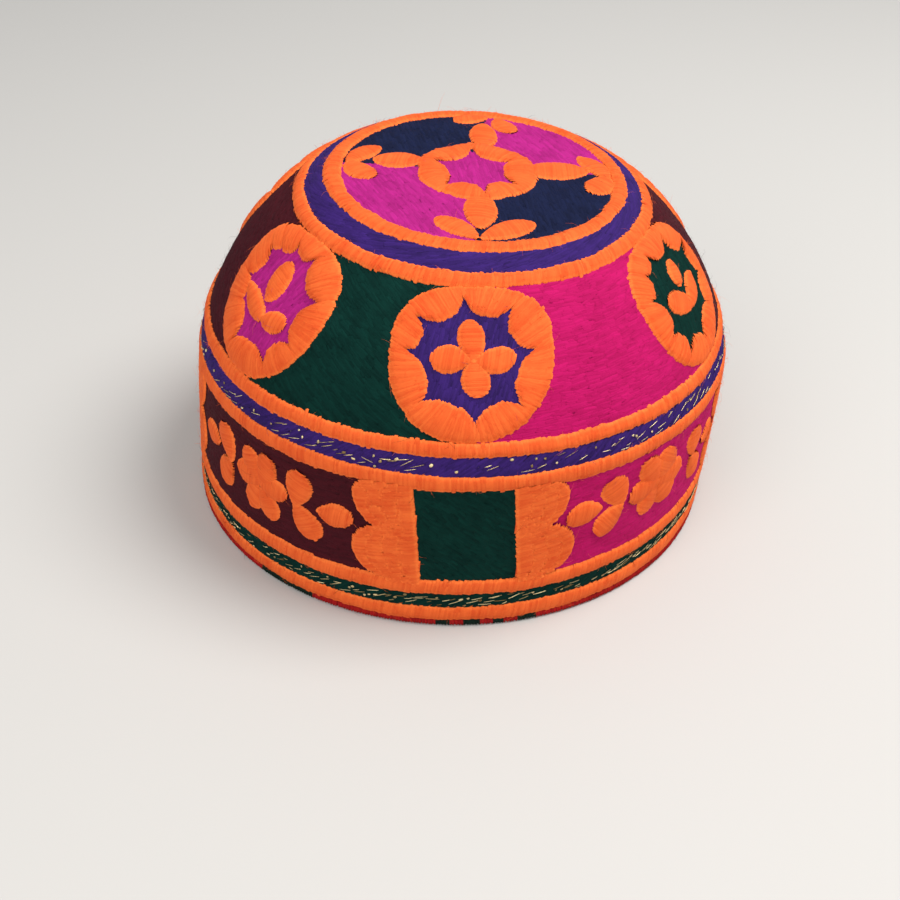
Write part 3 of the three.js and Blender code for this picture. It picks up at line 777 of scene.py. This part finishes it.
def block(skein, i, turn, side):
    """Columns of level satin stitches from the side of a square to the scalloped edge."""
    y = np.arange(-BAND_HEIGHT / 2 - BLOCK_TUCK, BAND_HEIGHT / 2 + BLOCK_TUCK, SATIN_PITCH)
    chart = patch(turn, BAND_MIDDLE)
    inner = square_side(i, side, y)
    width = block_edge(side, y)
    near, far = np.stack([inner, y], -1), np.stack([inner + side * (width - 1), y], -1)
    underlay(skein, chart, [np.vstack([near, far[::-1]])], 90, BLOCK_FLOOR + 0.15)
    for column in range(BLOCK_COLUMNS):
        low = inner + side * width * column / BLOCK_COLUMNS
        high = inner + side * width * (column + 1) / BLOCK_COLUMNS
        inside = column < BLOCK_COLUMNS - 1
        near_wobble = skein.rng.normal(0, COLUMN_WOBBLE, len(y)) if column else 0
        far_wobble = skein.rng.normal(0, COLUMN_WOBBLE, len(y)) if inside else 0
        shift = y + skein.rng.uniform(-0.2, 0.2, len(y))
        lap = side * (COLUMN_LAP if inside else EDGE_LAP)
        feet = np.stack([low + near_wobble - side * COLUMN_LAP, shift - COLUMN_SLANT * side], -1)
        heads = np.stack([high + far_wobble + lap, shift + COLUMN_SLANT * side], -1)
        satin(skein, chart, feet, heads, BLOCK_RISE, 5, floor=BLOCK_FLOOR, fray=0.15, dive=4.0)


skein = Skein(70)
rib(skein, BAND_LOWER_RIB, 71)
rib(skein, BAND_UPPER_RIB, 73, -0.6)
for i, turn in enumerate(SQUARE_TURNS):
    block(skein, i, turn, -1)
    block(skein, i, turn, 1)
skein.finish("band_frame_wool", orange_wool, "orange_wool", "band_frame", fluff=0.4)

# Flowers, leaves and buds of the band
# Small padded petals of orange wool sewn on the grounds, with the stitches across each petal.
PETAL_RISE = 1.2
PETAL_PITCH = 0.46
PETAL_FLOOR = 0.3
PETAL_STITCH = 1.25  # width of its threads
PETAL_SLANT = 0.12
LEFT_PANEL = {  # foot and tip as (degrees, way along the cloth), then the width
    "flower": (
        (-42.8, 38, -50.4, 38.2, 9.6), (-42.8, 38, -35.4, 38.2, 8.8), (-43.8, 36, -45.8, 26.0, 8.8),
        (-42.2, 36, -38.8, 25.8, 9.4), (-43.6, 38, -47.4, 48.2, 9.8), (-42.2, 38, -40.4, 49.6, 9.8),
    ),
    "right_pair": ((-33.2, 36.6, -32.0, 49.8, 10.8), (-33.2, 37.4, -28.0, 26.2, 10.4)),
    "right_bud": ((-27.9, 38.3, -20.2, 38.2, 9.2),),
    "left_pair": ((-53.0, 36.8, -57.0, 49.2, 10.8), (-53.0, 37.2, -57.4, 26.2, 10.6)),
    "left_bud": ((-58.4, 38.8, -66.2, 39.4, 8.4),),
}
RIGHT_PANEL = {
    "flower": (
        (44.4, 40.0, 36.6, 39.4, 9.8), (44.4, 40.0, 52.8, 38.6, 11.0), (43.8, 39, 41.2, 29.4, 9.6),
        (45.2, 39, 49.8, 30.0, 10.8), (43.6, 41, 40.2, 51.6, 9.8), (45.0, 41, 48.0, 50.6, 12.0),
    ),
    "right_pair": ((58.0, 38.4, 57.8, 49.4, 10.8), (57.4, 38.6, 62.8, 26.8, 9.6)),
    "right_bud": ((62.6, 39.4, 69.2, 40.0, 8.0),),
    "left_pair": ((34.9, 38.4, 31.0, 49.8, 10.2), (34.9, 38.8, 29.4, 29.4, 9.8)),
    "left_bud": ((29.7, 40.2, 22.0, 39.6, 9.4),),
}


def petal(skein, chart, foot, tip, width, widest=0.6, taper=0.8, bow=0.0):
    """Satin stitches across one petal, from its narrow foot to its round tip."""
    foot, tip = np.array(foot, float), np.array(tip, float)
    length = np.linalg.norm(tip - foot)
    t = np.arange(0.15, length, PETAL_PITCH) / length
    way = (tip - foot) / length
    side = np.array([-way[1], way[0]])
    narrow = np.sin(np.pi / 2 * np.minimum(t / widest, 1)) ** taper
    rounded = np.sqrt(np.clip(1 - ((t - widest) / (1 - widest)) ** 2, 0, 1))
    half = width / 2 * np.where(t < widest, narrow, rounded)
    keep = half > 0.5
    t, half = t[keep], half[keep]
    curve = bow * 4 * t * (1 - t)
    axis = foot + way * (t * length)[:, None] + side * curve[:, None]
    lean = bow * 4 * (1 - 2 * t) / length
    across = side - way * lean[:, None]
    across /= np.linalg.norm(across, axis=1, keepdims=True)
    slanted = across + way * PETAL_SLANT
    high = PETAL_RISE * skein.rng.uniform(0.9, 1.15) * (0.6 + 0.4 * np.sin(np.pi * t))
    satin(skein, chart, axis - slanted * half[:, None], axis + slanted * half[:, None],
          high, 6, width=PETAL_STITCH, fray=0.16, floor=PETAL_FLOOR)


def petals(name, cad_node, seed, spot, rows, *shape):
    """One piece of orange petals, from rows of foot, tip and width, at a turn, way and shift."""
    turn, along, shift = spot
    skein = Skein(seed)
    chart = patch(turn, along)
    for foot_turn, foot_along, tip_turn, tip_along, width in rows:
        spots = flat_on(turn, along, [(foot_turn + shift, foot_along), (tip_turn + shift, tip_along)])
        petal(skein, chart, *spots, width, *shape)
    skein.finish(name, orange_wool, "orange_wool", cad_node)


for i, turn in enumerate(FLOWER_TURNS):
    panel, home = (RIGHT_PANEL, 45) if i % 2 == 0 else (LEFT_PANEL, -43)
    spot = (turn, BAND_MIDDLE, turn - home)
    petals(f"flower_{i + 1}_wool", f"band_flower_{i + 1}", 80 + i, spot, panel["flower"], 0.56, 0.36)
    for side, n in (("left", 2 * i + 1), ("right", 2 * i + 2)):
        petals(f"leaf_pair_{n}_wool", f"band_leaf_pair_{n}", 90 + n, spot, panel[f"{side}_pair"], 0.66, 0.75)
        petals(f"bud_{n}_wool", f"band_bud_{n}", 100 + n, spot, panel[f"{side}_bud"], 0.55, 0.85)

# Medallions of the dome
# Round padded patches of orange wool with a star left open in each, filled with a dark or bright
# ground, and a small flower or a leaf with two petals sewn in the star. Their stitches fan out.
magenta_wool = wool("magenta_wool", rgb(198, 39, 142), rgb(118, 8, 78), 0.9, 0.15)
MEDALLION_TURNS = (0.5, 65.5, 123, 181, 242, 305)
MEDALLION_WIDTH = 49.5
DOME_MIDDLE = sum(DOME) / 2
MEDALLION_HEIGHT = DOME[1] - DOME[0] + 0.8
LOBE_DEPTH = 0.7
WIDE_GAP = 0.7  # angle between two tips from which the lobe between them is full
TIP_EXTRA = 1.7
STAR_POINT = 3.4  # higher is a narrower point
CREASE = 0.24
CREASE_POINT = 5
EDGE_NOTCH = 0.022
OVAL_HEAD, OVAL_FOOT = 0.82, 0.93  # 1 is an ellipse, and lower is squarer
MEDALLION_RISE = 1.55
MEDALLION_FLOOR = 0.1
GROUND_SPREAD = 1.05  # a star's ground against the star, as it runs under the orange wool
FLOWER_STAR = {  # spots as (degrees, way along the cloth), and petals as on the band
    "home": 0.5, "wool": purple_wool,
    "tips": ((-2.5, 113.8), (9.5, 110.4), (14, 97.7), (11, 82.0), (2, 77.6), (-8.5, 83.2),
             (-14, 96.5), (-13.5, 106.8)),
    "flower": (
        (0.9, 94.8, -0.8, 107.0, 8.2), (0.9, 95.2, 10.2, 95.6, 8.2),
        (0.8, 95.6, 2.2, 84.8, 8.6), (0.2, 95.4, -8.6, 95.6, 8.6),
    ),
}
RIGHT_STAR = {
    "home": 65.5, "wool": green_wool,
    "tips": ((59.6, 111.6), (72, 112), (82.5, 103.5), (80, 92), (74, 84.5), (65.6, 78.6), (57.5, 78.6),
             (53.6, 87.6), (51.8, 99.8), (54.5, 107.4)),
    "leaf": ((65.4, 97.6, 67.8, 105.8, 6.8),),
    "petals": ((66.4, 89.6, 57.0, 97.0, 8.4), (65.6, 89.6, 74.0, 96.0, 7.8)),
}
LEFT_STAR = {
    "home": -55, "wool": magenta_wool,
    "tips": ((-57.5, 112.3), (-49.5, 111.8), (-41.2, 101.3), (-43, 87.4), (-47.5, 78.6), (-59.5, 78.6),
             (-63.5, 88.8), (-67.5, 94.8), (-67, 106.3), (-62.6, 107.6)),
    "leaf": ((-55.6, 94.0, -55.4, 107.2, 9.4),),
    "petals": ((-65.5, 93.4, -53.6, 88.2, 6.8), (-54.0, 88.8, -46.0, 90.8, 7.2)),
}
DESIGNS = (FLOWER_STAR, RIGHT_STAR, LEFT_STAR)


def between_tips(tips, angles):
    """Reach of the tips before and after each angle, way between them from -1 to 1, and their gap."""
    tips = np.array(tips)
    tip_angles = np.arctan2(tips[:, 1], tips[:, 0]) % (2 * np.pi)
    order = np.argsort(tip_angles)
    tip_angles, reach = tip_angles[order], np.linalg.norm(tips, axis=1)[order] + TIP_EXTRA
    tip_angles = np.concatenate([[tip_angles[-1] - 2 * np.pi], tip_angles, [tip_angles[0] + 2 * np.pi]])
    reach = np.concatenate([reach[-1:], reach, reach[:1]])
    angles = np.asarray(angles) % (2 * np.pi)
    i = np.clip(np.searchsorted(tip_angles, angles, side="right") - 1, 0, len(reach) - 2)
    gap = tip_angles[i + 1] - tip_angles[i]
    return reach[i], reach[i + 1], 2 * (angles - tip_angles[i]) / gap - 1, gap


def star_edge(tips, angles, lobe_depth=LOBE_DEPTH):
    """The star's edge at each angle round its middle: points at its tips, full lobes between them."""
    before, after, way, gap = between_tips(tips, angles)
    near = np.where(way < 0, before, after)
    lobe = (before + after) / 2 * (1 - (1 - lobe_depth) * np.minimum(gap / WIDE_GAP, 1))
    radius = lobe + (near - lobe) * np.abs(way) ** STAR_POINT
    return ways(angles) * radius[:, None]


def crease(tips, angles, depth):
    """Share of the full height at each angle: the padding sinks beyond each tip of the star."""
    way = between_tips(tips, angles)[2]
    return 1 - depth * np.abs(way) ** CREASE_POINT


def medallion_edge(angles):
    """The round outline of a medallion, a little squarer than an ellipse, at its head most of all."""
    c, s = np.cos(angles), np.sin(angles)
    corner = np.where(s > 0, OVAL_HEAD, OVAL_FOOT)
    x = MEDALLION_WIDTH / 2 * np.sign(c) * np.abs(c) ** corner
    y = MEDALLION_HEIGHT / 2 * np.sign(s) * np.abs(s) ** corner
    return np.stack([x, y], -1)


def even_angles(curve):
    """Angles that divide a closed curve into equal steps, one for each satin stitch."""
    fine = np.linspace(0, 2 * np.pi, 1441)
    points = curve(fine)
    run = np.concatenate([[0], np.cumsum(np.linalg.norm(np.diff(points, axis=0), axis=1))])
    steps = np.linspace(0, run[-1], int(run[-1] / SATIN_PITCH), endpoint=False)
    return np.interp(steps, run, fine)


around_once = np.linspace(0, 2 * np.pi, 120, endpoint=False)
for i, turn in enumerate(MEDALLION_TURNS):
    design = DESIGNS[i % 3]
    shift = turn - design["home"]
    chart = patch(turn, DOME_MIDDLE)
    tips = flat_on(turn, DOME_MIDDLE, [(a + shift, s) for a, s in design["tips"]])
    ground = Skein(110 + i)
    fill(ground, chart, [star_edge(tips, around_once) * GROUND_SPREAD], 78, 4.0)
    ground.finish(f"star_{i + 1}_ground", design["wool"], "crown_cloth")
    skein = Skein(120 + i)
    angles = even_angles(medallion_edge)
    outer = medallion_edge(angles) * crease(tips, angles, EDGE_NOTCH)[:, None]
    high = MEDALLION_RISE * crease(tips, angles, CREASE)
    satin(skein, chart, star_edge(tips, angles), outer, high, 7, floor=MEDALLION_FLOOR)
    skein.finish(f"medallion_{i + 1}_wool", orange_wool, "orange_wool", f"medallion_{i + 1}", fluff=0.5)
    for motif, seed, *shape in (
        ("flower", 130, 0.6, 0.7), ("leaf", 140, 0.5, 0.5), ("petals", 150, 0.6, 0.6),
    ):
        if motif in design:
            n = i // 3 + 1 if motif == "flower" else i - i // 3
            spot = (turn, DOME_MIDDLE, shift)
            petals(f"star_{motif}_{n}_wool", f"medallion_{motif}_{n}", seed + i, spot, design[motif], *shape)

# Grounds of the dome
# Darned fields between the medallions, pink, maroon and green in turn. They run a little under the
# ribs above and below them, and under the edges of the medallions.
DOME_GROUNDS = ((pink_wool, 2), (maroon_wool, -24), (green_wool, -32))
DOME_TUCK = 0.6
for i, turn in enumerate(MEDALLION_TURNS):
    following = MEDALLION_TURNS[(i + 1) % 6]
    width = (following - turn) % 360
    middle = turn + width / 2
    skein = Skein(160 + i)
    y = np.linspace(DOME[0] - DOME_TUCK, DOME[1] + DOME_TUCK, 40) - DOME_MIDDLE
    share = np.sqrt(np.clip(1 - (2 * y / MEDALLION_HEIGHT) ** 2, 0, 1))
    half = math.radians(width / 2) * radius_at(DOME_MIDDLE + y) - share * (MEDALLION_WIDTH / 2 - 1.0)
    outline = np.vstack([np.stack([-half, y], -1), np.stack([half, y], -1)[::-1]])
    ground_wool, direction = DOME_GROUNDS[i % 3]
    fill(skein, patch(middle, DOME_MIDDLE), [outline], direction, 4.2, tilt=6)
    skein.finish(f"dome_ground_{i + 1}", ground_wool, "crown_cloth")

# Round top
# Four quarters of darning, magenta and navy in turn, under an orange rosette with a star in its
# middle, four buds that grow out of it, and a pair of leaves at the edge beyond each bud.
navy_wool = wool("navy_wool", rgb(27, 36, 72), rgb(5, 8, 26), gloss=0.08)
TOP_STAR_TIPS = ((-2, 16.5), (10, 7.6), (11.4, -8.4), (2.4, -15.4), (-9.6, -11.4), (-14, 5.6))
TOP_LOBE_DEPTH = 0.58
ROSETTE_RADIUS = 19.6
ROSETTE_LOBE = 1.1
QUARTER_FOOT = 14  # where a quarter begins, under the rosette
BUDS = (  # foot, tip and width, seen from above
    ((1, -37.4), (1, -15.4), 10.6), ((37, 5.4), (15.6, 2.4), 12.6),
    ((2, 17), (2, 37.4), 9.8), ((-18, 5), (-34.0, 5.6), 11.4),
)
TOP_LEAVES = (  # for each pair the foot, tip, width and bow of its two leaves
    (((0.5, -43.4), (-12.6, -32.4), 8.4, -0.6), ((1, -43.4), (17.6, -32.6), 9.4, 0.8)),
    (((43.0, -0.4), (34.4, 15.2), 8.0, -1.6), ((43.2, 3.4), (36.0, -8.6), 9.8, 1.2)),
    (((3.5, 44), (-8.6, 40.8), 7.6, 0.5), ((6.8, 43.6), (12.2, 31.6), 8.4, -0.5)),
    (((-42.8, 1.0), (-32.8, 14.2), 8.2, 1.6), ((-42.2, 4.6), (-33.4, -7.6), 9.4, -1.4)),
)


def seen_from_above(flat):
    """Flat sewing lines of the round top: x to the right and y to the back, round its middle."""
    reach = np.hypot(flat[..., 0], flat[..., 1])
    return np.arctan2(flat[..., 0], -flat[..., 1]), WALL_LENGTH - reach


QUARTERS = (  # directions from above, in degrees from +X
    ("front_left", 176, 269, magenta_wool, -62), ("back_left", 86, 176, navy_wool, -78),
    ("back_right", 6, 86, magenta_wool, -62), ("front_right", -91, 6, navy_wool, -78),
)
for i, (name, first, last, quarter_wool, direction) in enumerate(QUARTERS):
    angles = np.radians(np.linspace(first, last, 24))
    edge = ways(angles)
    outline = np.vstack([edge * QUARTER_FOOT, edge[::-1] * (DISC_RADIUS + 0.4)])
    skein = Skein(170 + i)
    fill(skein, seen_from_above, [outline], direction, 5.4)
    skein.finish(f"top_{name}_ground", quarter_wool, "top_cloth")

skein = Skein(175)
top_star = star_edge(TOP_STAR_TIPS, around_once, TOP_LOBE_DEPTH)
fill(skein, seen_from_above, [top_star * GROUND_SPREAD], -80, 5.0)
skein.finish("top_star_ground", magenta_wool, "top_cloth")


def rosette_edge(angles):
    reach = ROSETTE_RADIUS + ROSETTE_LOBE * (np.abs(np.cos(3 * (angles - math.radians(30)))) ** 0.6 - 0.5)
    return ways(angles) * reach[:, None]


skein = Skein(176)
angles = even_angles(rosette_edge)
satin(skein, seen_from_above, star_edge(TOP_STAR_TIPS, angles, TOP_LOBE_DEPTH), rosette_edge(angles),
      MEDALLION_RISE * crease(TOP_STAR_TIPS, angles, CREASE), 7, floor=MEDALLION_FLOOR)
for foot, tip, width in BUDS:
    petal(skein, seen_from_above, foot, tip, width, widest=0.5, taper=0.6)
skein.finish("rosette_wool", orange_wool, "orange_wool", "top_rosette")
for i, pair in enumerate(TOP_LEAVES):
    skein = Skein(180 + i)
    for foot, tip, width, bow in pair:
        petal(skein, seen_from_above, foot, tip, width, bow=bow)
    skein.finish(f"top_leaves_{i + 1}_wool", orange_wool, "orange_wool", f"top_leaf_pair_{i + 1}")

# Floor, light and camera
# A plain pale floor under soft studio light, seen from the photograph's angle. Colours are shown as
# they are dyed, so that the strong dyes of the wool keep their hue.
bpy.context.scene.view_settings.view_transform = "Standard"
floor_material = plain_material("pale_floor", Base_Color=rgb(188, 185, 180), Roughness=0.7)[0]
bpy.ops.mesh.primitive_plane_add(size=6)
floor = bpy.context.object
floor.name = "floor"
floor.data.materials.append(floor_material)
floor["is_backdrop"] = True

world = bpy.data.worlds.new("soft_room")
bpy.context.scene.world = world
world.use_nodes = True
world.node_tree.nodes["Background"].inputs["Color"].default_value = (0.95, 0.97, 1.0, 1)
world.node_tree.nodes["Background"].inputs["Strength"].default_value = 0.55
LAMP_AIM = (0, 0, 0.06)


def soft_light(name, spot, size, power):
    """A large soft lamp that points at the cap."""
    data = bpy.data.lights.new(name, "AREA")
    data.shape, data.size, data.energy = "DISK", size, power
    lamp = bpy.data.objects.new(name, data)
    bpy.context.scene.collection.objects.link(lamp)
    lamp.location = spot
    direction = np.array(LAMP_AIM) - np.array(spot)
    lamp.rotation_euler = (
        math.atan2(math.hypot(direction[0], direction[1]), -direction[2]), 0,
        math.atan2(direction[1], direction[0]) - math.pi / 2)


soft_light("key_light", (0.6, 0.0, 1.15), 0.8, 17)
soft_light("fill_light", (-0.4, -0.9, 0.8), 1.0, 8.5)

CAMERA_BACK, CAMERA_HIGH = 0.3831432, 0.2880152
CAMERA_PITCH = 0.642
CAMERA_ROLL = 0.029
camera_data = bpy.data.cameras.new("camera")
camera_data.lens, camera_data.sensor_width = 50, 36
camera = bpy.data.objects.new("camera", camera_data)
bpy.context.scene.collection.objects.link(camera)
bpy.context.scene.camera = camera
camera.location = (RIM_CENTRE * MM, -CAMERA_BACK, CAMERA_HIGH)
level_aim = Euler((math.pi / 2 - CAMERA_PITCH, 0, 0)).to_matrix()
camera.rotation_euler = (level_aim @ Matrix.Rotation(CAMERA_ROLL, 3, "Z")).to_euler()

low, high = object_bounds()
